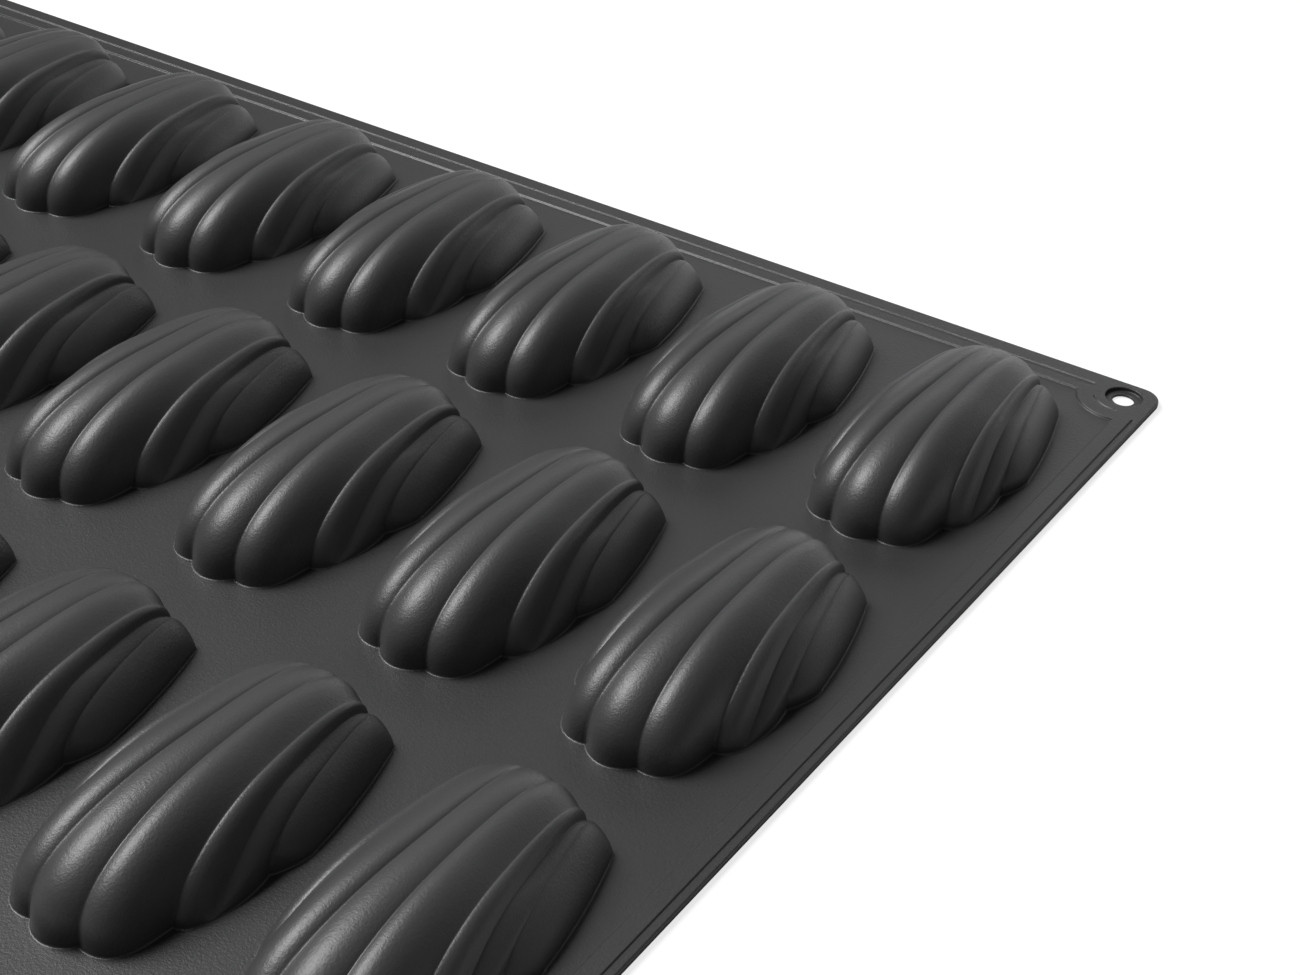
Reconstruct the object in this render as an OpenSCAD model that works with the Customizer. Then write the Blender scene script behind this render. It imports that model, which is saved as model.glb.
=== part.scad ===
// Flexible baking mould for madeleines, lying mouth side down with its ribbed shells up.
// The origin is the middle of the flat underside. X runs across the columns, and Y runs
// towards the far edge, where the narrow ends of the shells point.

/* [Sheet] */
// Width of the sheet, across the columns
sheet_w = 400; // [370:1:430]
// Length of the sheet, across the rows
sheet_l = 300; // [270:1:330]
// Thickness of the web between the shells
web_t = 1; // [0.7:0.1:1.4]
// Thickness of the border round the sheet
border_t = 1.5; // [1.5:0.1:2.5]
// Radius of the sheet's corners
corner_r = 5; // [2:0.5:6]

/* [Shells] */
// Columns of shells
columns = 8; // [1:1:8]
// Rows of shells
rows = 3; // [1:1:3]
// Room between a side edge and the nearest shells
side_room = 10.15; // [6.5:0.05:25]
// Room between the near or far edge and the nearest shells
end_room = 20.8; // [18.5:0.1:35]
// Length of a shell, from its wide tip to its narrow tip
shell_l = 75; // [60:0.5:76]
// Width of a shell at its widest
shell_w = 43; // [34:0.5:45]
// Height of a shell above the web
shell_h = 17.3; // [12:0.1:24]
// Thickness of a shell's wall
wall = 1.2; // [0.8:0.1:2]

/* [Border] */
// Width of the border along the two sides
side_border = 5.8; // [4:0.1:6.5]
// Width of the border along the near and far ends
end_border = 9.2; // [7:0.1:10]
// Lip between a side edge and the border's groove
side_lip = 1.4; // [0.8:0.1:2.5]
// Lip between a near or far edge and the border's groove
end_lip = 4.4; // [2:0.1:5]
// Width of the groove along the sides and in the pads
groove_w = 0.8; // [0.4:0.1:1.2]
// Width of the groove along the near and far ends
end_groove_w = 2.2; // [0.8:0.1:2.4]
// Depth of the border's groove
groove_depth = 0.4; // [0.2:0.1:0.8]

/* [Hanging holes] */
// Distance of a hole's middle from the side edge
hole_side = 7.6; // [6:0.1:8.5]
// Distance of a hole's middle from the near or far edge
hole_end = 6.5; // [6:0.1:8.5]
// Diameter of a hole
hole_d = 5; // [3:0.1:6]
// Diameter of the recess round a hole
recess_d = 8.6; // [7:0.1:9.4]
// Depth of the recess round a hole
recess_depth = 0.9; // [0.4:0.1:1]
// Radius of the raised pad round a hole
pad_r = 11; // [9.5:0.1:11.2]
// Radius of the curved groove in a pad
pad_groove_r = 6.9; // [5.5:0.1:7.5]
// Distance from a hole's middle at which the straight grooves stop
groove_stop = 8.7; // [6.5:0.1:9.5]

/* [Hidden] */
half_w = sheet_w / 2;
half_l = sheet_l / 2;
// Distance from one column or row of shells to the next, which spreads them over the sheet
column_pitch = (sheet_w - 2 * side_room - shell_w) / max(1, columns - 1);
row_pitch = (sheet_l - 2 * end_room - shell_l) / max(1, rows - 1);
// A corner piece holds the whole pad, with a little of the web beyond it
corner_rest = 0.8;
corner_w = hole_side + pad_r + corner_rest;
corner_l = hole_end + pad_r + corner_rest;
// The curved groove lies on the inner side of the hole, between these angles from +X
pad_groove_from = 215;
pad_groove_to = 277;
// A cutter reaches past the faces that it opens
past = 1;
round_fn = 96;

// The shell has nine ribs. The lines between them are the grooves at 0.5, 1.5, 2.5 and 3.5
// from the middle, and 4.5 is the straight edge of the base. Each list runs from the middle
// to the side, and the left half mirrors the right.
// Foot of each line at the wide end, as shares of the half width and of the length
line_wide = [[0.253, 0.041], [0.683, 0.203], [0.869, 0.262], [0.887, 0.454], [0.992, 0.583]];
// Foot of each line at the narrow end
line_narrow = [[0.137, 0.993], [0.42, 0.969], [0.475, 0.963], [0.5, 0.984], [0.697, 0.975]];
// Share of the height that each line reaches
line_top = [0.947, 0.792, 0.625, 0.5, 0];
// Sideways bow of each line at its middle
line_bow = [-0.041, -0.033, -0.032, 0.008, 0.035];
// A smaller power makes the line rise more steeply from its wide foot
line_rise = [0.399, 0.548, 1.092, 0.414, 0.4];
// Power of the swell on the inner and the outer side of each line. Below 1 a rib drops steeply
// to its line, and above 1 it runs out softly
line_sharp = [[0.83, 0.7], [1.25, 0.72], [1.25, 0.9], [0.9, 0.75], [0.65, 0.7]];
// Fullness of each rib at its wide and narrow ends, as a share of the rib's width
rib_wide = [0.281, 0.276, 0.14, 0.06, 0.087];
rib_narrow = [0.092, 0.105, 0.18, 0.045, 0.105];
// Below 1 the ribs lose their fullness soon after the wide end
rib_fall = 0.38;
// Facets across each rib, and along the shell
rib_steps = [3, 3, 2, 2, 2];
shell_steps = 8;
// Place of a line's highest point, and the powers that shape its fall to the narrow end
line_peak = 0.5;
fall_out = 3;
fall_in = 0.25;
ribs_each_side = 4;

function unit(v) = v / norm(v);

// Share of its top height that a line has reached, at e from its wide foot to its narrow one
function line_height(i, e) =
    let (before = max(0, (line_peak - e) / line_peak))
    let (after = max(0, (e - line_peak) / (1 - line_peak)))
    pow(1 - before * before, line_rise[i]) * pow(1 - pow(after, fall_out), fall_in);

// Point on the line at s from the middle, in millimetres from the shell's wide tip
function line_point(s, e) =
    let (i = floor(abs(s)))
    let (foot = line_wide[i] + (line_narrow[i] - line_wide[i]) * e)
    [
        sign(s) * (foot.x + line_bow[i] * 4 * e * (1 - e)) * shell_w / 2,
        foot.y * shell_l,
        line_top[i] * shell_h * line_height(i, e)
    ];

function rib_middle(rib, e) = (line_point(rib - 0.5, e) + line_point(rib + 0.5, e)) / 2;

// Direction along a rib: straight up at the wide foot and straight down at the narrow one
function rib_along(rib, e) =
    e < 0.001 ? [0, 0, 1]
    : e > 0.999 ? [0, 0, -1]
    : rib_middle(rib, e + 0.001) - rib_middle(rib, e - 0.001);

// Share of a rib's fullness at q across it, 1 at its crest and 0 at its two lines
function rib_swell(rib, q) =
    let (outer = line_sharp[abs(rib)][0])
    let (inner = rib == 0 ? outer : line_sharp[abs(rib) - 1][1])
    let (before = rib < 0 ? outer : inner)
    let (after = rib < 0 ? inner : outer)
    let (crest = before / (before + after))
    pow(q / crest, before) * pow((1 - q) / (1 - crest), after);

// Point on a rib at q across it, bulged out from the chord between its two lines
function rib_point(rib, q, e) =
    let (from = line_point(rib - 0.5, e))
    let (to = line_point(rib + 0.5, e))
    let (i = abs(rib))
    let (full = rib_wide[i] + (rib_narrow[i] - rib_wide[i]) * pow(e, rib_fall))
    let (out = unit(cross(to - from, rib_along(rib, e))))
    from + (to - from) * q + out * full * norm(to - from) * rib_swell(rib, q);

// Distance along the lines, closer together towards both feet
function along_share(row) = (1 - cos(180 * row / shell_steps)) / 2;

// One row of points across the shell, from its left base edge to its right one
function shell_row(e) = [
    for (rib = [-ribs_each_side:ribs_each_side])
        for (step = [0:rib_steps[abs(rib)] - 1])
            rib_point(rib, step / rib_steps[abs(rib)], e),
    line_point(ribs_each_side + 0.5, e)
];

outer_rows = [for (row = [0:shell_steps]) shell_row(along_share(row))];

// The inner face is the outer one drawn in by the wall on every side
inner_scale = [1 - 2 * wall / shell_w, 1 - 2 * wall / shell_l, 1 - wall / shell_h];
function drawn_in(p) = [p.x * inner_scale.x, wall + p.y * inner_scale.y, p.z * inner_scale.z];
inner_rows = [for (row = outer_rows) [for (p = row) drawn_in(p)]];

last_col = len(outer_rows[0]) - 1;

// Grid places of the points round the base, anticlockwise from the wide end's left corner
base_ring = [
    for (col = [0:last_col - 1]) [0, col],
    for (row = [0:shell_steps - 1]) [row, last_col],
    for (col = [last_col:-1:1]) [shell_steps, col],
    for (row = [shell_steps:-1:1]) [row, 0]
];
mouth_outline = [for (g = base_ring) [inner_rows[g[0]][g[1]].x, inner_rows[g[0]][g[1]].y]];

function flat(rows_of_points) = [for (row = rows_of_points) for (p = row) p];

function column_x(column) = (column - (columns + 1) / 2) * column_pitch;
// Place of a row's wide tips: row 1 is the farthest
function row_y(row) = ((rows + 1) / 2 - row) * row_pitch - shell_l / 2;

function shell_name(row, column) = str("shell_row", row, "_column", column);

rubber_grey = [0.2, 0.2, 0.21];
border_grey = [0.26, 0.26, 0.27];
shell_grey = [0.32, 0.32, 0.34];

// Thin hollow shell, standing on its open base with its wide tip at the origin
module shell_body() {
    width = last_col + 1;
    inner_start = width * (shell_steps + 1);
    ring = len(base_ring);
    outer_faces = [
        for (row = [0:shell_steps - 1]) for (col = [0:last_col - 1])
            let (a = row * width + col)
            each [[a, a + width, a + 1], [a + 1, a + width, a + width + 1]]
    ];
    inner_faces = [for (f = outer_faces) [inner_start + f[0], inner_start + f[2], inner_start + f[1]]];
    base_faces = [
        for (k = [0:ring - 1])
            let (g = base_ring[k], h = base_ring[(k + 1) % ring])
            let (a = g[0] * width + g[1], b = h[0] * width + h[1])
            each [[a, b, inner_start + a], [b, inner_start + b, inner_start + a]]
    ];
    polyhedron(
        points = concat(flat(outer_rows), flat(inner_rows)),
        faces = concat(outer_faces, inner_faces, base_faces),
        convexity = 6
    );
}

module at_shell(row, column) {
    translate([column_x(column), row_y(row), 0]) children();
}

module shell(row, column) {
    color(shell_grey) at_shell(row, column) translate([0, 0, web_t]) shell_body();
}

// Flat web inside the border, with a mouth under every shell
module web_sheet() {
    color(rubber_grey) linear_extrude(web_t) difference() {
        square([sheet_w - 2 * side_border, sheet_l - 2 * end_border], center = true);
        for (sx = [-1, 1]) for (sy = [-1, 1])
            translate([sx * (half_w - corner_w / 2), sy * (half_l - corner_l / 2)])
                square([corner_w, corner_l], center = true);
        for (row = [1:rows]) for (column = [1:columns])
            at_shell(row, column) polygon(mouth_outline);
    }
}

// Strip of border with its groove, from the outer edge at x = 0 inwards to x = -width
module border_strip(width, lip, groove, length) {
    rotate([90, 0, 0]) linear_extrude(length, center = true) polygon([
        [0, 0],
        [0, border_t],
        [-lip, border_t],
        [-lip, border_t - groove_depth],
        [-lip - groove, border_t - groove_depth],
        [-lip - groove, border_t],
        [-width, border_t],
        [-width, 0]
    ]);
}

module side_border_piece(sx) {
    color(border_grey) mirror([sx < 0 ? 1 : 0, 0, 0]) translate([half_w, 0, 0])
        border_strip(side_border, side_lip, groove_w, sheet_l - 2 * corner_l);
}

module end_border_piece(sy) {
    color(border_grey) mirror([0, sy < 0 ? 1 : 0, 0]) translate([0, half_l, 0]) rotate([0, 0, 90])
        border_strip(end_border, end_lip, end_groove_w, sheet_w - 2 * corner_w);
}

// Plan of a corner piece, with the sheet's corner at the origin and the sheet towards -X and -Y
module corner_plan() {
    difference() {
        translate([-corner_w, -corner_l]) square([corner_w, corner_l]);
        translate([-corner_r, -corner_r]) difference() {
            square(corner_r + past);
            circle(corner_r, $fn = round_fn);
        }
    }
}

// Raised part of a corner piece: both borders and the pad round the hole
module corner_raised_plan() {
    intersection() {
        corner_plan();
        union() {
            translate([-side_border, -corner_l]) square([side_border, corner_l]);
            translate([-corner_w, -end_border]) square([corner_w, end_border]);
            translate([-hole_side, -hole_end]) circle(pad_r, $fn = round_fn);
        }
    }
}

// Sector of a ring round the hole, between two angles
module ring_sector(radius, width, from, to) {
    reach = 2 * radius;
    difference() {
        circle(radius + width / 2, $fn = round_fn);
        circle(radius - width / 2, $fn = round_fn);
        for (turn = [from - 180, from - 90, to, to + 90]) rotate(turn) square([reach, reach]);
    }
}

module corner_groove_plan() {
    translate([-side_lip - groove_w, -corner_l - past])
        square([groove_w, corner_l + past - hole_end - groove_stop]);
    translate([-corner_w - past, -end_lip - end_groove_w])
        square([corner_w + past - hole_side - groove_stop, end_groove_w]);
    translate([-hole_side, -hole_end])
        ring_sector(pad_groove_r, groove_w, pad_groove_from, pad_groove_to);
}

module corner_piece(sx, sy) {
    color(border_grey)
        mirror([sx < 0 ? 1 : 0, 0, 0]) mirror([0, sy < 0 ? 1 : 0, 0])
            translate([half_w, half_l, 0]) difference() {
                union() {
                    linear_extrude(web_t) corner_plan();
                    linear_extrude(border_t) corner_raised_plan();
                }
                translate([0, 0, border_t - groove_depth])
                    linear_extrude(groove_depth + past) corner_groove_plan();
                translate([-hole_side, -hole_end, -past])
                    cylinder(d = hole_d, h = border_t + 2 * past, $fn = round_fn);
                translate([-hole_side, -hole_end, border_t - recess_depth])
                    cylinder(d = recess_d, h = recess_depth + past, $fn = round_fn);
            }
}

web_sheet();
for (row = [1:rows]) for (column = [1:columns])
    shell(row, column);
side_border_piece(-1);  // side_border_left
side_border_piece(1);  // side_border_right
end_border_piece(1);  // end_border_far
end_border_piece(-1);  // end_border_near
corner_piece(-1, 1);  // corner_far_left
corner_piece(1, 1);  // corner_far_right
corner_piece(-1, -1);  // corner_near_left
corner_piece(1, -1);  // corner_near_right
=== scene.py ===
"""Flexible silicone madeleine mould, lying mouth side down with its ribbed shells up."""
import math

import bmesh
import bpy
import numpy as np
from mathutils import Matrix, Vector, geometry


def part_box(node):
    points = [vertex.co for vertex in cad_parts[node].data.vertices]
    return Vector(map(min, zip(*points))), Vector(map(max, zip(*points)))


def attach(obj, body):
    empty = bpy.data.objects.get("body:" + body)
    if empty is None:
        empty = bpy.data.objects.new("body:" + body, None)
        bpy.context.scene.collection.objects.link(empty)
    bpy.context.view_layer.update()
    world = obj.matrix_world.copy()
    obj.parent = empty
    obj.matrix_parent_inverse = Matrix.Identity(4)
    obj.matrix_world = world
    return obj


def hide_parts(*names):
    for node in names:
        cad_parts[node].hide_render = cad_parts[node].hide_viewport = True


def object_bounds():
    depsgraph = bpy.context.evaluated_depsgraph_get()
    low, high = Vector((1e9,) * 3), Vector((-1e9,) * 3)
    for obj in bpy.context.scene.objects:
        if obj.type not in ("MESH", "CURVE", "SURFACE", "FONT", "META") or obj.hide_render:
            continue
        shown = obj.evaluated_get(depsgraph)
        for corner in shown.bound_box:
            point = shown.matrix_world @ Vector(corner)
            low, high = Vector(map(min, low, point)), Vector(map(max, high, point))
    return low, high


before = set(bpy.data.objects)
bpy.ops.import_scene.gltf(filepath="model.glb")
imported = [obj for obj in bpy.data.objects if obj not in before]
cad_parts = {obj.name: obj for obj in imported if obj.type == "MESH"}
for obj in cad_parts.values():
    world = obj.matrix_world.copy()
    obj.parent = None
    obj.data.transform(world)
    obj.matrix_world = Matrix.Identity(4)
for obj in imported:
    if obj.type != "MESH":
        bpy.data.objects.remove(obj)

cad_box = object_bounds()

MM = 0.001

# Sizes in millimetres, as the solids have them
SHELL_L = 75.0
SHELL_W = 43.0
SHELL_H = 17.3
WALL = 1.2
CORNER_R = 5.0
SIDE_BORDER = 5.8
END_BORDER = 9.2
SIDE_LIP = 1.4
END_LIP = 4.4
GROOVE_W = 0.8
END_GROOVE_W = 2.2
GROOVE_DEPTH = 0.4
HOLE_SIDE = 7.6
HOLE_END = 6.5
HOLE_D = 5.0
RECESS_D = 8.6
RECESS_DEPTH = 0.9
PAD_R = 11.0
PAD_GROOVE_R = 6.9
PAD_GROOVE_FROM = 215.0
PAD_GROOVE_TO = 277.0
GROOVE_STOP = 8.7

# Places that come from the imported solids
WEB_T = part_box("web_sheet")[1].z / MM
BORDER_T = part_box("side_border_right")[1].z / MM
HALF_W = cad_box[1].x / MM
HALF_L = cad_box[1].y / MM
HOLE_X = HALF_W - HOLE_SIDE
HOLE_Y = HALF_L - HOLE_END
CORNERS = [(-1, -1), (-1, 1), (1, -1), (1, 1)]

# The facets of a solid shell cut this much off its wide tip
TIP_FACET = 0.30

# Roundings that only the moulded surface has: round the foot of a shell, round its mouth, along
# the sheet's outer edge, and along every other edge
ROOT_R = 0.35
MOUTH_R = 0.5
EDGE_R = 0.35
SOFT_R = 0.25
# Flat strip beside each rounding
FLAT_RIM = 0.05
# Share of a groove's depth that is left once its bottom is rounded
GROOVE_FILL = 0.7
# Width that the two soft sides of any groove take up, as a share of a narrow groove's width
GROOVE_SLOPE = 0.85
# Share by which the line between two ribs moves towards the surface beside it
RIB_LINE_SOFTNESS = 0.35
# Width of the web that is moulded with each shell, and the reach over which its edge and the
# directions out of the foot are evened out
CELL_RIM = 1.2
CELL_SOFTNESS = 2.0
NOTCH_SOFTNESS = 0.7
# Edges that turn by more degrees than this stay sharp
SHARP_ANGLE = 60.0

# Lines between the nine ribs, from the middle to the side: the grooves, and last the edge
# of the base. Feet are shares of half the width and of the length.
LINE_WIDE = np.array([[0.253, 0.041], [0.683, 0.203], [0.869, 0.262], [0.887, 0.454], [0.992, 0.583]])
LINE_NARROW = np.array([[0.137, 0.993], [0.42, 0.969], [0.475, 0.963], [0.5, 0.984], [0.697, 0.975]])
LINE_TOP = [0.947, 0.792, 0.625, 0.5, 0]
LINE_BOW = [-0.041, -0.033, -0.032, 0.008, 0.035]
LINE_RISE = [0.399, 0.548, 1.092, 0.414, 0.4]
# Power of the swell on the inner and the outer side of each line. Below 1 a rib drops steeply
# to its line, and above 1 it runs out softly. The last line has a rib on its inner side only.
LINE_SHARP = [[0.83, 0.7], [1.25, 0.72], [1.25, 0.9], [0.9, 0.75], [0.65, 0.7]]
RIB_WIDE = [0.281, 0.276, 0.14, 0.06, 0.087]
RIB_NARROW = [0.092, 0.105, 0.18, 0.045, 0.105]
# Below 1 the ribs lose their fullness soon after the wide end
RIB_FALL = 0.38
RIBS_EACH_SIDE = 4
LINE_PEAK = 0.5
FALL_OUT = 3.0
FALL_IN = 0.25
# Places across a rib, closer together towards its two grooves
RIB_PLACES = [0.0, 0.012, 0.035, 0.08, 0.15, 0.24, 0.34, 0.45, 0.55, 0.66, 0.76, 0.85, 0.92, 0.965, 0.988]
RIB_STEPS = len(RIB_PLACES)
ALONG_STEPS = 56

# Points along the border's lines
GROOVE_POINTS = 9
PAD_EDGE_POINTS = 25
PAD_GROOVE_STEPS = 16

# The kind of triangulation that stays inside an outline
INSIDE_OUTLINE = 1
# Points closer than this are one point: in millimetres in a flat face, in metres in a mesh
FLAT_WELD = 1e-6
MESH_WELD = 1e-7
# Heights that differ by less than this, in metres, are the same height
SAME_HEIGHT = 1e-6


def line_height(i, e):
    """Share of its top height that line i has at e, from its wide foot to its narrow one."""
    before = np.clip((LINE_PEAK - e) / LINE_PEAK, 0, 1)
    after = np.clip((e - LINE_PEAK) / (1 - LINE_PEAK), 0, 1)
    return (1 - before ** 2) ** LINE_RISE[i] * (1 - after ** FALL_OUT) ** FALL_IN


def line_points(s, e):
    """Points along the line at s ribs from the middle, in millimetres from the wide tip."""
    i = int(abs(s))
    foot = LINE_WIDE[i] + (LINE_NARROW[i] - LINE_WIDE[i]) * e[:, None]
    x = math.copysign(1, s) * (foot[:, 0] + LINE_BOW[i] * 4 * e * (1 - e)) * SHELL_W / 2
    return np.stack([x, foot[:, 1] * SHELL_L, LINE_TOP[i] * SHELL_H * line_height(i, e)], 1)


def rib_along(rib, e):
    """Direction along a rib: straight up at its wide foot and straight down at its narrow one."""
    step = 0.0005
    inside = np.clip(e, step, 1 - step)
    ahead = line_points(rib - 0.5, inside + step) + line_points(rib + 0.5, inside + step)
    behind = line_points(rib - 0.5, inside - step) + line_points(rib + 0.5, inside - step)
    along = ahead - behind
    along[0] = (0, 0, 1)
    along[-1] = (0, 0, -1)
    return along


def rib_swell(rib, q):
    """Share of a rib's fullness at q across it, 1 at its crest and 0 at its two lines."""
    outer = LINE_SHARP[abs(rib)][0]
    inner = LINE_SHARP[abs(rib) - 1][1] if rib else outer
    before, after = (inner, outer) if rib >= 0 else (outer, inner)
    crest = before / (before + after)
    return (q / crest) ** before * ((1 - q) / (1 - crest)) ** after


def shell_grid():
    """Outer surface as points [across, along], from the left edge of the base to the right."""
    e = (1 - np.cos(np.linspace(0, math.pi, ALONG_STEPS + 1))) / 2
    columns = []
    for rib in range(-RIBS_EACH_SIDE, RIBS_EACH_SIDE + 1):
        left = line_points(rib - 0.5, e)
        right = line_points(rib + 0.5, e)
        chord = right - left
        out = np.cross(chord, rib_along(rib, e))
        out /= np.linalg.norm(out, axis=1)[:, None]
        i = abs(rib)
        full = RIB_WIDE[i] + (RIB_NARROW[i] - RIB_WIDE[i]) * e ** RIB_FALL
        bulge = out * (full * np.linalg.norm(chord, axis=1))[:, None]
        for q in RIB_PLACES:
            columns.append(left + chord * q + bulge * rib_swell(rib, q))
    columns.append(line_points(RIBS_EACH_SIDE + 0.5, e))
    return np.array(columns)


def soften_grooves(grid):
    """Rounds the bottom of each groove a little, as a moulded one is."""
    soft = grid.copy()
    for k in range(1, 2 * RIBS_EACH_SIDE + 1):
        c = k * RIB_STEPS
        beside = (grid[c - 1] + grid[c + 1]) / 2
        soft[c] = grid[c] * (1 - RIB_LINE_SOFTNESS) + beside * RIB_LINE_SOFTNESS
    return soft


def base_ring(grid):
    """Points round the base of a grid, anticlockwise from above."""
    return np.concatenate([grid[:-1, 0], grid[-1, :-1], grid[:0:-1, -1], grid[0, :0:-1]])


def averaging(loop, reach):
    """Weights that average what lies within about reach along a closed loop."""
    gaps = np.linalg.norm(np.roll(loop, -1, 0) - loop, axis=1)
    along = np.concatenate([[0], np.cumsum(gaps)[:-1]])
    apart = np.abs(along[:, None] - along[None, :])
    apart = np.minimum(apart, gaps.sum() - apart)
    weights = np.exp(-0.5 * (apart / reach) ** 2) * (gaps + np.roll(gaps, 1))[None, :]
    return weights / weights.sum(1)[:, None]


def loop_normals(loop, reach):
    """Outward plan normals of an anticlockwise loop, averaged along it."""
    tangent = np.roll(loop, -1, 0) - np.roll(loop, 1, 0)
    normal = np.stack([tangent[:, 1], -tangent[:, 0]], 1)
    normal /= np.linalg.norm(normal, axis=1)[:, None]
    normal = averaging(loop, reach) @ normal
    return normal / np.linalg.norm(normal, axis=1)[:, None]


def within(point, loop):
    """Whether a plan point lies inside a closed loop."""
    ahead = np.roll(loop, -1, 0)
    crosses = (loop[:, 1] > point[1]) != (ahead[:, 1] > point[1])
    a, b = loop[crosses], ahead[crosses]
    reach = a[:, 0] + (point[1] - a[:, 1]) * (b[:, 0] - a[:, 0]) / (b[:, 1] - a[:, 1])
    return bool(np.sum(reach > point[0]) % 2)


def at_height(loop, z):
    """A plan loop as points at one height."""
    return np.column_stack([loop, np.full(len(loop), z)])


class Solid:
    """Collects rings of points and the faces between them, in millimetres."""

    def __init__(self):
        self.mesh = bmesh.new()

    def ring(self, points):
        return [self.mesh.verts.new(Vector(p) * MM) for p in points]

    def bridge(self, a, b):
        """A closed band of quads between two rings of as many vertices."""
        n = len(a)
        for k in range(n):
            self.mesh.faces.new((a[k], a[(k + 1) % n], b[(k + 1) % n], b[k]))

    def rings(self, loops):
        """A skin over loops, in their order. Returns the vertices of the first and the last."""
        made = [self.ring(loop) for loop in loops]
        for a, b in zip(made, made[1:]):
            self.bridge(a, b)
        return made[0], made[-1]

    def grid(self, points):
        """A sheet of quads over points [across, along]. Returns its vertices, [across][along]."""
        verts = [self.ring(column) for column in points]
        for a, b in zip(verts, verts[1:]):
            for k in range(len(a) - 1):
                self.mesh.faces.new((a[k], b[k], b[k + 1], a[k + 1]))
        return verts

    def fill(self, rings):
        """A flat face with holes: the first ring is its outline and the others are holes."""
        verts = [v for ring in rings for v in ring]
        owner = np.repeat(np.arange(len(rings)), [len(ring) for ring in rings])
        places = np.array([v.co[:2] for v in verts]) / MM
        edges = []
        start = 0
        for ring in rings:
            n = len(ring)
            edges += [(start + k, start + (k + 1) % n) for k in range(n)]
            start += n
        points = [Vector(p) for p in places]
        found = geometry.delaunay_2d_cdt(points, edges, [], INSIDE_OUTLINE, FLAT_WELD)
        for corners in found[2]:
            if not self.spans_hole(corners, owner, places):
                self.mesh.faces.new([verts[k] for k in corners])

    @staticmethod
    def spans_hole(corners, owner, places):
        """Whether a triangle lies inside a hole, or outside the outline."""
        rings_met = set(owner[corners])
        if len(rings_met) > 1:
            return False
        loop = places[owner == rings_met.pop()]
        return within(places[corners].mean(0), loop) != (owner[corners[0]] == 0)

    def finish(self, name):
        """Welds what meets, turns every face outwards and returns the mesh."""
        bmesh.ops.remove_doubles(self.mesh, verts=self.mesh.verts, dist=MESH_WELD)
        bmesh.ops.recalc_face_normals(self.mesh, faces=self.mesh.faces)
        data = bpy.data.meshes.new(name)
        self.mesh.to_mesh(data)
        self.mesh.free()
        for polygon in data.polygons:
            polygon.use_smooth = True
        data.set_sharp_from_angle(angle=math.radians(SHARP_ANGLE))
        return data


def grid_ring(verts):
    """The border vertices of a grid of vertices, in the order of base_ring."""
    first = [column[0] for column in verts[:-1]]
    right = verts[-1][:-1]
    last = [column[-1] for column in verts[:0:-1]]
    left = verts[0][:0:-1]
    return first + right + last + left


def shell_outlines(grid):
    """Round one shell in plan: its outer base, the directions out of it, and its patch of web."""
    base = base_ring(grid)[:, :2]
    outward = loop_normals(base, NOTCH_SOFTNESS)
    cell = averaging(base, CELL_SOFTNESS) @ (base + outward * (ROOT_R + CELL_RIM))
    return base, outward, cell


def drawn_in(grid):
    """The inner face: the outer one drawn in by the wall on every side."""
    scale = np.array([1 - 2 * WALL / SHELL_W, 1 - 2 * WALL / SHELL_L, 1 - WALL / SHELL_H])
    return grid * scale + np.array([0, WALL, 0])


def arc(steps):
    """Angles from 0 to a quarter turn."""
    return [math.radians(90 * k / steps) for k in range(steps + 1)]


def root_loops(base, outward, cell):
    """Loops round the foot of a shell, from its wall out over its patch of web."""
    loops = []
    for turn in arc(6)[1:]:
        reach = ROOT_R * (1 - math.cos(turn))
        loops.append(at_height(base + outward * reach, WEB_T + ROOT_R * (1 - math.sin(turn))))
    loops.append(at_height(base + outward * (ROOT_R + FLAT_RIM), WEB_T))
    loops.append(at_height(cell, WEB_T))
    return loops


def mouth_loops(inner, cell):
    """Loops round the mouth of a shell, from its inner face out over the underside."""
    base = base_ring(inner)[:, :2]
    outward = loop_normals(base, NOTCH_SOFTNESS)
    loops = [at_height(base, MOUTH_R)]
    for turn in arc(4)[1:]:
        loop = base + outward * MOUTH_R * (1 - math.cos(turn))
        loops.append(at_height(loop, MOUTH_R * (1 - math.sin(turn))))
    loops.append(at_height(base + outward * (MOUTH_R + FLAT_RIM), 0))
    loops.append(at_height(cell, 0))
    return loops


def build_shell(grid):
    """One hollow shell with its rounded root, its rounded mouth and a narrow rim of web."""
    solid = Solid()
    base, outward, cell = shell_outlines(grid)
    raised = grid.copy()
    raised[:, :, 2] = WEB_T + ROOT_R + grid[:, :, 2] * (SHELL_H - ROOT_R) / SHELL_H
    top_edge = grid_ring(solid.grid(raised))
    first, cell_top = solid.rings(root_loops(base, outward, cell))
    solid.bridge(top_edge, first)

    inner = drawn_in(grid)
    inner[:, :, 2] += WEB_T
    inner_edge = grid_ring(solid.grid(inner))
    first, cell_bottom = solid.rings(mouth_loops(inner, cell))
    solid.bridge(inner_edge, first)
    solid.bridge(cell_top, cell_bottom)
    return solid.finish("shell")


def round_corner(centre, radius, start, steps=10):
    """Points along a quarter turn that begins at start degrees."""
    turns = [math.radians(start + 90 * k / steps) for k in range(steps + 1)]
    return [(centre[0] + radius * math.cos(t), centre[1] + radius * math.sin(t)) for t in turns]


def sheet_outline(inset=0.0):
    """Outer edge of the sheet, anticlockwise from the far right corner, drawn in by inset."""
    x, y = HALF_W - CORNER_R, HALF_L - CORNER_R
    radius = CORNER_R - inset
    points = []
    for sx, sy, start in ((1, 1, 0), (-1, 1, 90), (-1, -1, 180), (1, -1, 270)):
        points += round_corner((sx * x, sy * y), radius, start)
    return np.array(points)


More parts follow.
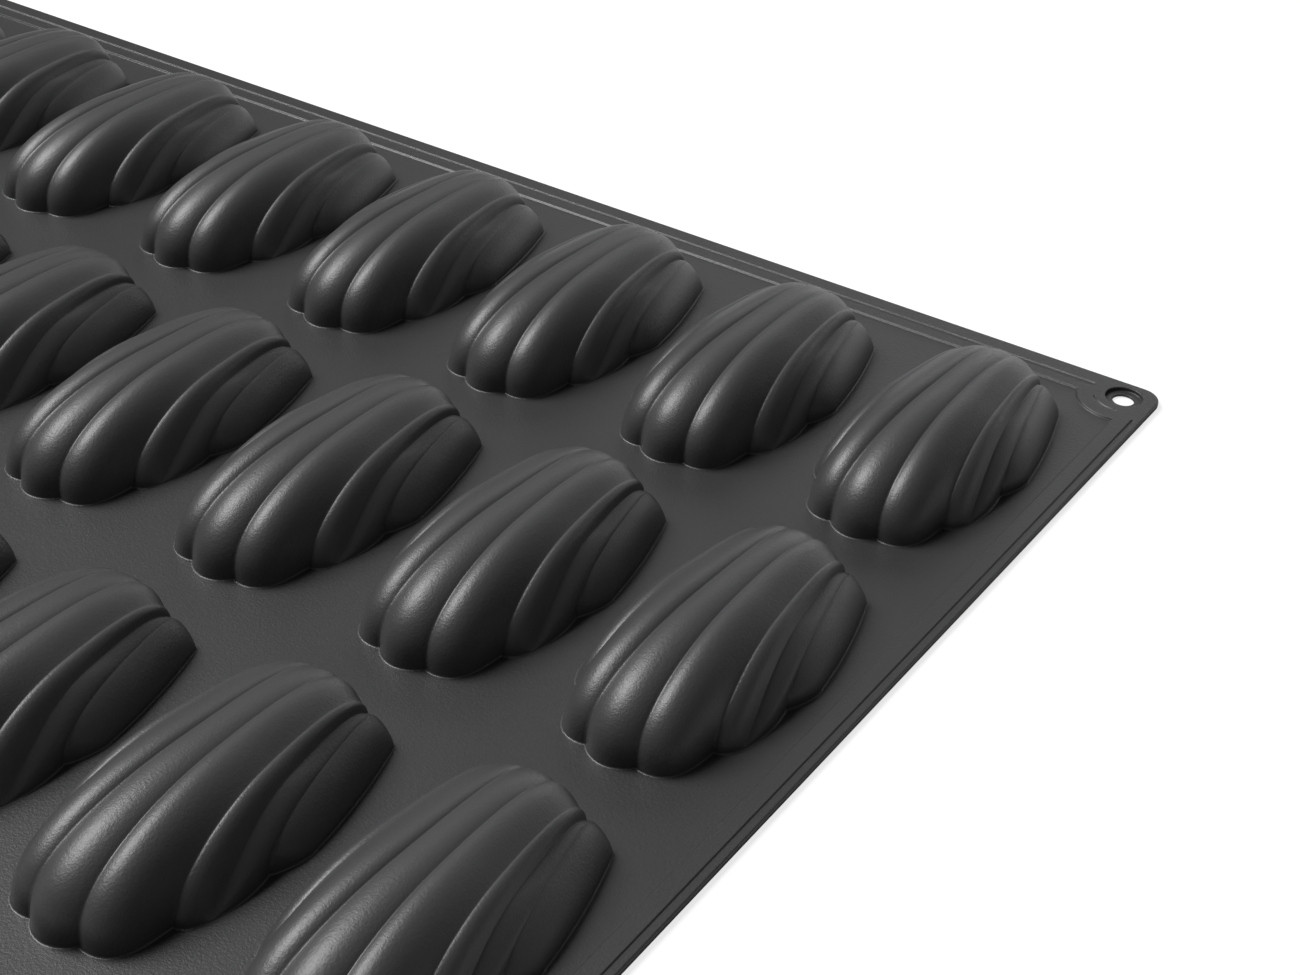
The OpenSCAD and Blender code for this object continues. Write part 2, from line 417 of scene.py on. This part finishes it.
def pad_edge(inset):
    """Inner edge of the border round one corner pad, in far right corner coordinates.

    It runs from the side border to the end border, along an arc round the hole. A positive
    inset moves it towards the border."""
    radius = PAD_R - inset
    side_x = HALF_W - SIDE_BORDER + inset
    end_y = HALF_L - END_BORDER + inset
    start = -math.acos((side_x - HOLE_X) / radius)
    end = -math.pi - math.asin((end_y - HOLE_Y) / radius)
    turns = np.linspace(start, end, PAD_EDGE_POINTS)
    return [(HOLE_X + radius * math.cos(t), HOLE_Y + radius * math.sin(t)) for t in turns]


def border_inner_outline(inset=0.0):
    """Inner edge of the border, anticlockwise, with an arc round each corner pad."""
    corner = pad_edge(inset)
    points = []
    for sx, sy in ((1, 1), (-1, 1), (-1, -1), (1, -1)):
        pts = [(sx * x, sy * y) for x, y in corner]
        points += pts if sx * sy > 0 else pts[::-1]
    return np.array(points)


def circle_loop(centre, radius, steps=64):
    turns = np.linspace(0, 2 * math.pi, steps, endpoint=False)
    return np.stack([centre[0] + radius * np.cos(turns), centre[1] + radius * np.sin(turns)], 1)


def slot_loop(path, half, cap_steps=6):
    """Outline of a round-ended slot of half-width half along an open path."""
    tangent = np.gradient(path, axis=0)
    tangent /= np.linalg.norm(tangent, axis=1)[:, None]
    normal = np.stack([tangent[:, 1], -tangent[:, 0]], 1)
    right = path + normal * half
    left = path - normal * half
    cap = [math.pi * k / cap_steps for k in range(1, cap_steps)]
    loop = list(right)
    for turn in cap:
        loop.append(path[-1] + normal[-1] * half * math.cos(turn) + tangent[-1] * half * math.sin(turn))
    loop += list(left[::-1])
    for turn in cap:
        loop.append(path[0] - normal[0] * half * math.cos(turn) - tangent[0] * half * math.sin(turn))
    return np.array(loop)


def straight_grooves():
    """Middle lines and widths of the grooves along the two sides and the two ends."""
    side_x = HALF_W - SIDE_LIP - GROOVE_W / 2
    end_y = HALF_L - END_LIP - END_GROOVE_W / 2
    side_y = HOLE_Y - GROOVE_STOP
    end_x = HOLE_X - GROOVE_STOP
    along_side = np.linspace(-side_y, side_y, GROOVE_POINTS)
    along_end = np.linspace(-end_x, end_x, GROOVE_POINTS)
    grooves = []
    for s in (-1, 1):
        grooves.append((np.array([(s * side_x, y) for y in along_side]), GROOVE_W))
        grooves.append((np.array([(x, s * end_y) for x in along_end]), END_GROOVE_W))
    return grooves


def pad_grooves():
    """Middle lines and widths of the curved grooves, one in each corner pad."""
    sweep = PAD_GROOVE_TO - PAD_GROOVE_FROM
    steps = range(PAD_GROOVE_STEPS + 1)
    turns = [math.radians(PAD_GROOVE_FROM + sweep * k / PAD_GROOVE_STEPS) for k in steps]
    curve = [(HOLE_X + PAD_GROOVE_R * math.cos(t), HOLE_Y + PAD_GROOVE_R * math.sin(t)) for t in turns]
    return [(np.array([(sx * x, sy * y) for x, y in curve]), GROOVE_W) for sx, sy in CORNERS]


def soft_step(steps=6):
    """An S curve from (0, 0) to (1, 1), as pairs of distance and fall."""
    return [(k / steps, (1 - math.cos(math.pi * k / steps)) / 2) for k in range(steps + 1)]


def outer_edge_loops():
    """Loops over the sheet's outer edge, from the top of the border to its underside."""
    loops = [at_height(sheet_outline(EDGE_R + FLAT_RIM), BORDER_T)]
    for turn in arc(5):
        edge = sheet_outline(EDGE_R * (1 - math.sin(turn)))
        loops.append(at_height(edge, BORDER_T - EDGE_R * (1 - math.cos(turn))))
    for turn in arc(4):
        edge = sheet_outline(SOFT_R * (1 - math.cos(turn)))
        loops.append(at_height(edge, SOFT_R * (1 - math.sin(turn))))
    loops.append(at_height(sheet_outline(SOFT_R + FLAT_RIM), 0))
    return loops


def inner_step_loops():
    """Loops down the border's soft inner step, from its top to the web and the underside."""
    loops = [at_height(border_inner_outline(SOFT_R + FLAT_RIM), BORDER_T)]
    for reach, fall in soft_step():
        edge = border_inner_outline(SOFT_R * (1 - 2 * reach))
        loops.append(at_height(edge, BORDER_T - (BORDER_T - WEB_T) * fall))
    foot = border_inner_outline(-SOFT_R - FLAT_RIM)
    return loops + [at_height(foot, WEB_T), at_height(foot, 0)]


def groove_loops(path, width):
    """Loops down into one groove of the border, the last one along its middle line."""
    depth = GROOVE_FILL * GROOVE_DEPTH
    loops = [at_height(slot_loop(path, width / 2 + FLAT_RIM), BORDER_T)]
    for reach, fall in soft_step(5):
        half = width / 2 - GROOVE_SLOPE * GROOVE_W / 2 * reach
        loops.append(at_height(slot_loop(path, half), BORDER_T - depth * fall))
    loops.append(at_height(slot_loop(path, 0), BORDER_T - depth))
    return loops


def hole_profile():
    """Radii and heights down through one hanging hole: its recess, its lip and its bore."""
    lip = BORDER_T - RECESS_DEPTH
    recess = RECESS_D / 2
    bore = HOLE_D / 2
    bore_soft = SOFT_R / 2
    profile = [(recess + SOFT_R + FLAT_RIM, BORDER_T)]
    profile += [(recess + SOFT_R * (1 - math.sin(t)), BORDER_T - SOFT_R * (1 - math.cos(t)))
                for t in arc(4)]
    profile += [(recess - SOFT_R * (1 - math.cos(t)), lip + SOFT_R * (1 - math.sin(t)))
                for t in arc(4)]
    profile += [(recess - SOFT_R - FLAT_RIM, lip), (bore + bore_soft + FLAT_RIM, lip)]
    profile += [(bore + bore_soft * (1 - math.sin(t)), lip - bore_soft * (1 - math.cos(t)))
                for t in arc(3)]
    profile += [(bore + bore_soft * (1 - math.cos(t)), bore_soft * (1 - math.sin(t)))
                for t in arc(3)]
    return profile + [(bore + bore_soft + FLAT_RIM, 0)]


def build_border():
    """The raised border with its grooves, corner pads, recesses and hanging holes."""
    solid = Solid()
    top_outer, bottom_outer = solid.rings(outer_edge_loops())
    top_inner, bottom_inner = solid.rings(inner_step_loops())
    tops = [top_outer, top_inner]
    bottoms = [bottom_outer, bottom_inner]
    for path, width in straight_grooves() + pad_grooves():
        tops.append(solid.rings(groove_loops(path, width))[0])
    for sx, sy in CORNERS:
        centre = (sx * HOLE_X, sy * HOLE_Y)
        top, bottom = solid.rings([at_height(circle_loop(centre, r), z) for r, z in hole_profile()])
        tops.append(top)
        bottoms.append(bottom)
    solid.fill(tops)
    solid.fill(bottoms)
    return solid.finish("border")


def build_web(grid, places):
    """The flat web between the border and the shells' own rims."""
    solid = Solid()
    cell = shell_outlines(grid)[2]
    loops = [border_inner_outline(-SOFT_R - FLAT_RIM)]
    loops += [cell + np.array([place.x / MM, place.y / MM]) for place in places]
    tops = []
    bottoms = []
    for loop in loops:
        top, bottom = solid.rings([at_height(loop, WEB_T), at_height(loop, 0)])
        tops.append(top)
        bottoms.append(bottom)
    solid.fill(tops)
    solid.fill(bottoms)
    return solid.finish("web")


class Value:
    """A node socket that takes part in plain Python sums."""

    def __init__(self, shader, socket):
        self.shader = shader
        self.socket = socket

    def _sum(self, operation, a, b):
        return self.shader.node("ShaderNodeMath", {"operation": operation}, {0: a, 1: b})

    def __add__(self, other):
        return self._sum("ADD", self, other)

    def __radd__(self, other):
        return self._sum("ADD", other, self)

    def __mul__(self, other):
        return self._sum("MULTIPLY", self, other)

    def __rmul__(self, other):
        return self._sum("MULTIPLY", other, self)


class Shader:
    """The node tree of one material or world."""

    def __init__(self, owner):
        owner.use_nodes = True
        self.tree = owner.node_tree
        self.tree.nodes.clear()

    def node(self, kind, settings=None, inputs=None, output=0):
        """Adds a node, its settings before its sockets. Returns one of its outputs, if it has any."""
        made = self.tree.nodes.new(kind)
        for key, value in (settings or {}).items():
            if key == "stops":
                self._set_stops(made.color_ramp, value)
            else:
                setattr(made, key, value)
        for key, value in (inputs or {}).items():
            socket = self._socket(made.inputs, key)
            if isinstance(value, Value):
                self.tree.links.new(value.socket, socket)
            else:
                socket.default_value = value
        if not made.outputs:
            return None
        return Value(self, self._socket(made.outputs, output))

    @staticmethod
    def _set_stops(band, stops):
        """Sets the stops of a ramp's band, as pairs of place and shade."""
        for k, (place, shade) in enumerate(stops):
            stop = band.elements[k] if k < 2 else band.elements.new(place)
            stop.position = place
            stop.color = grey(shade)

    @staticmethod
    def _socket(sockets, key):
        """A socket by its place, or by the name that no other socket of the node has."""
        if isinstance(key, int):
            return sockets[key]
        return next(s for s in sockets if s.identifier == key)


# Tones of the silicone, darkest and lightest. Both are one silicone: the sheet's darker tones are painted
# shade.
SHELL_TONES = (0.050, 0.060)
SHEET_TONES = (0.031, 0.037)
COOLNESS = 1.03
DUST_TONE = 0.16
DUST_COVER = 0.35
# Sizes of the surface's patterns, in cells to the metre
FINE_GRAIN = 2200.0
COARSE_GRAIN = 1300.0
SPECKS = 520.0
BLOOM = 28.0
# Shares of the two grains in the relief, and its height in metres
FINE_RELIEF = 0.6
COARSE_RELIEF = 0.4
RELIEF = 0.00010
# Roughness of the cleanest silicone, and what bloom and grain add to it
ROUGH_LEAST = 0.34
ROUGH_BLOOM = 0.06
ROUGH_GRAIN = 0.08
SILICONE_IOR = 1.54


def grey(shade):
    """A neutral grey."""
    return (shade, shade, shade, 1)


def cool_grey(shade):
    """A very slightly cool grey."""
    return (shade, shade, shade * COOLNESS, 1)


def noise(shader, place, cells, detail, roughness):
    """Soft random shades with this many cells to the metre."""
    return shader.node("ShaderNodeTexNoise", {}, {"Vector": place, "Scale": cells, "Detail": detail,
                                                  "Roughness": roughness})


def ramp(shader, value, stops):
    """A value turned into a shade by the stops of a ramp."""
    return shader.node("ShaderNodeValToRGB", {"stops": stops}, {"Fac": value})


def mixed(shader, share, under, over):
    """One colour over another, by a share from 0 to 1."""
    return shader.node("ShaderNodeMix", {"data_type": "RGBA"},
                       {"Factor_Float": share, "A_Color": under, "B_Color": over},
                       output="Result_Color")


def silicone(name, dark, light):
    """Silicone between two tones: fine grain, a faint bloom and dust in patches."""
    material = bpy.data.materials.new(name)
    shader = Shader(material)
    place = shader.node("ShaderNodeNewGeometry", output="Position")
    grain = noise(shader, place, FINE_GRAIN, 3.0, 0.65)
    coarse = noise(shader, place, COARSE_GRAIN, 2.0, 0.5)
    bloom = noise(shader, place, BLOOM, 4.0, 0.55)
    specks = shader.node("ShaderNodeTexVoronoi", {"feature": "F1"}, {"Vector": place, "Scale": SPECKS})
    dust = ramp(shader, specks, [(0.0, 1.0), (0.09, 0.0)])
    patches = ramp(shader, bloom, [(0.52, 0.0), (0.72, 1.0)])
    dusty = dust * patches
    tone = mixed(shader, bloom, cool_grey(dark), cool_grey(light))
    colour = mixed(shader, dusty * DUST_COVER, tone, cool_grey(DUST_TONE))
    roughness = ROUGH_LEAST + bloom * ROUGH_BLOOM + grain * ROUGH_GRAIN
    height = grain * FINE_RELIEF + coarse * COARSE_RELIEF
    bump = shader.node("ShaderNodeBump", {}, {"Strength": 1.0, "Distance": RELIEF, "Height": height})
    surface = shader.node("ShaderNodeBsdfPrincipled", {},
                          {"Base Color": colour, "Roughness": roughness, "Normal": bump,
                           "IOR": SILICONE_IOR})
    shader.node("ShaderNodeOutputMaterial", {}, {"Surface": surface})
    return material


# What the table throws back on to the mould, and what the camera sees of it: a shade that takes
# the mould's shadow, under a glow that makes the rest white
TABLE_SHADE = 0.6
SHADOW_SHADE = 0.3
TABLE_GLOW = 0.76
# Half the table's width, and how far it lies below the mould, in metres
TABLE_REACH = 6.0
TABLE_GAP = 0.0002
# Light from all around on the mould, and the white behind it that the camera sees
ROOM_LIGHT = 0.09
BACKDROP_LIGHT = 1.0


def seen_directly(shader):
    """1 for rays straight from the camera, 0 for the light that falls on the mould."""
    return shader.node("ShaderNodeLightPath", output="Is Camera Ray")


def white_table():
    """White surface that keeps the mould's shadow."""
    material = bpy.data.materials.new("white_table")
    shader = Shader(material)
    plain = shader.node("ShaderNodeBsdfDiffuse", {}, {"Color": grey(TABLE_SHADE)})
    shaded = shader.node("ShaderNodeBsdfDiffuse", {}, {"Color": grey(SHADOW_SHADE)})
    glow = shader.node("ShaderNodeEmission", {}, {"Color": grey(1), "Strength": TABLE_GLOW})
    bright = shader.node("ShaderNodeAddShader", {}, {0: shaded, 1: glow})
    surface = shader.node("ShaderNodeMixShader", {}, {0: seen_directly(shader), 1: plain, 2: bright})
    shader.node("ShaderNodeOutputMaterial", {}, {"Surface": surface})
    return material


def lay_table():
    """The table top that the mould lies on."""
    far = TABLE_REACH
    data = bpy.data.meshes.new("table")
    data.from_pydata([(-far, -far, 0), (far, -far, 0), (far, far, 0), (-far, far, 0)], [], [(0, 1, 2, 3)])
    data.materials.append(white_table())
    table = bpy.data.objects.new("table", data)
    bpy.context.scene.collection.objects.link(table)
    table.location.z = -TABLE_GAP


def studio_world():
    """Even light from all around, and white behind everything."""
    world = bpy.data.worlds.new("studio")
    bpy.context.scene.world = world
    shader = Shader(world)
    ambient = shader.node("ShaderNodeBackground", {}, {"Color": grey(1), "Strength": ROOM_LIGHT})
    white = shader.node("ShaderNodeBackground", {}, {"Color": grey(1), "Strength": BACKDROP_LIGHT})
    surface = shader.node("ShaderNodeMixShader", {}, {0: seen_directly(shader), 1: ambient, 2: white})
    shader.node("ShaderNodeOutputWorld", {}, {"Surface": surface})


def soft_box(name, place, target, size, power):
    """A rectangular studio lamp that faces its target."""
    lamp = bpy.data.lights.new(name, "AREA")
    lamp.shape = "RECTANGLE"
    lamp.size, lamp.size_y = size
    lamp.energy = power
    holder = bpy.data.objects.new(name, lamp)
    holder.location = place
    aim = Vector(target) - Vector(place)
    holder.rotation_euler = aim.to_track_quat("-Z", "Y").to_euler()
    bpy.context.scene.collection.objects.link(holder)


# The photograph's camera, in metres and degrees, and its frame in the photograph's pixels
CAMERA_PLACE = Vector((0.34064, -0.31249, 0.27524))
CAMERA_AZIMUTH = 32.0765
CAMERA_ELEVATION = 33.3875
CAMERA_ROLL = 3.088
CAMERA_NEAREST = 0.01
FRAME_W = 1300
FOCAL_PX = 2323.17
AXIS_X_PX = 616
# Width of the sensor in millimetres
SENSOR_W = 36.0


def photo_camera():
    """The scene's camera, where the photograph was taken from."""
    azimuth, elevation, roll = (math.radians(a) for a in (CAMERA_AZIMUTH, CAMERA_ELEVATION, CAMERA_ROLL))
    back = Vector((math.sin(azimuth) * math.cos(elevation), -math.cos(azimuth) * math.cos(elevation),
                   math.sin(elevation)))
    level = Vector((math.cos(azimuth), math.sin(azimuth), 0))
    upright = back.cross(level)
    right = level * math.cos(roll) + upright * math.sin(roll)
    up = upright * math.cos(roll) - level * math.sin(roll)
    data = bpy.data.cameras.new("photo_camera")
    data.sensor_fit = "HORIZONTAL"
    data.sensor_width = SENSOR_W
    data.lens = FOCAL_PX / FRAME_W * SENSOR_W
    data.shift_x = (FRAME_W / 2 - AXIS_X_PX) / FRAME_W
    data.clip_start = CAMERA_NEAREST
    camera = bpy.data.objects.new("photo_camera", data)
    turned = Matrix((right, up, back)).transposed().to_4x4()
    camera.matrix_world = Matrix.Translation(CAMERA_PLACE) @ turned
    bpy.context.scene.collection.objects.link(camera)
    bpy.context.scene.camera = camera


def shade_painted_sheet_rim(data, shade_painted_sheet):
    """Gives the flat rim round a shell the sheet's material, whose darker tones are painted shade, on
    both faces of the web.
    """
    data.materials.append(shade_painted_sheet)
    for face in data.polygons:
        heights = [data.vertices[v].co.z for v in face.vertices]
        if any(all(abs(z - flat) < SAME_HEIGHT for z in heights) for flat in (0, WEB_T * MM)):
            face.material_index = 1


def shell_place(node):
    """Where the wide tip of a shell stands on the table."""
    low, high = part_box(node)
    return Vector(((low.x + high.x) / 2, low.y - TIP_FACET * MM, 0))


def add_piece(name, data, place, nodes):
    """One piece of the mould, in place of the solids that it stands for."""
    piece = bpy.data.objects.new(name, data)
    bpy.context.scene.collection.objects.link(piece)
    piece.location = place
    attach(piece, "root")
    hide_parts(*nodes)


def dress_mould():
    """The moulded surface, in place of all the solids."""
    shell_silicone = silicone("silicone_of_the_shells", *SHELL_TONES)
    # The sheet is the shells' silicone with darker tones, which are painted shade
    shade_painted_sheet = silicone("silicone_of_the_sheet", *SHEET_TONES)
    grid = soften_grooves(shell_grid())
    shell_nodes = sorted(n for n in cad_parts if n.startswith("shell_"))
    border_nodes = [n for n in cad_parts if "border" in n or n.startswith("corner")]
    shell = build_shell(grid)
    shell.materials.append(shell_silicone)
    shade_painted_sheet_rim(shell, shade_painted_sheet)
    for node in shell_nodes:
        add_piece("moulded_" + node, shell, shell_place(node), [node])
    web = build_web(grid, [shell_place(node) for node in shell_nodes])
    web.materials.append(shade_painted_sheet)
    add_piece("moulded_web", web, Vector(), ["web_sheet"])
    border = build_border()
    border.materials.append(shade_painted_sheet)
    add_piece("moulded_border", border, Vector(), border_nodes)


bpy.context.scene.view_settings.view_transform = "Standard"
photo_camera()
studio_world()
lay_table()
soft_box("key_left", place=(-1.25, -0.19, 1.97), target=(0.1, 0, 0), size=(1.2, 1.2), power=68)
soft_box("low_back", place=(0.3, 2.4, 0.3), target=(0.1, 0, 0), size=(2.4, 0.4), power=6)
soft_box("high_back", place=(-0.5, 2.0, 1.04), target=(0.1, 0.05, 0), size=(1.6, 0.8), power=3.0)
dress_mould()
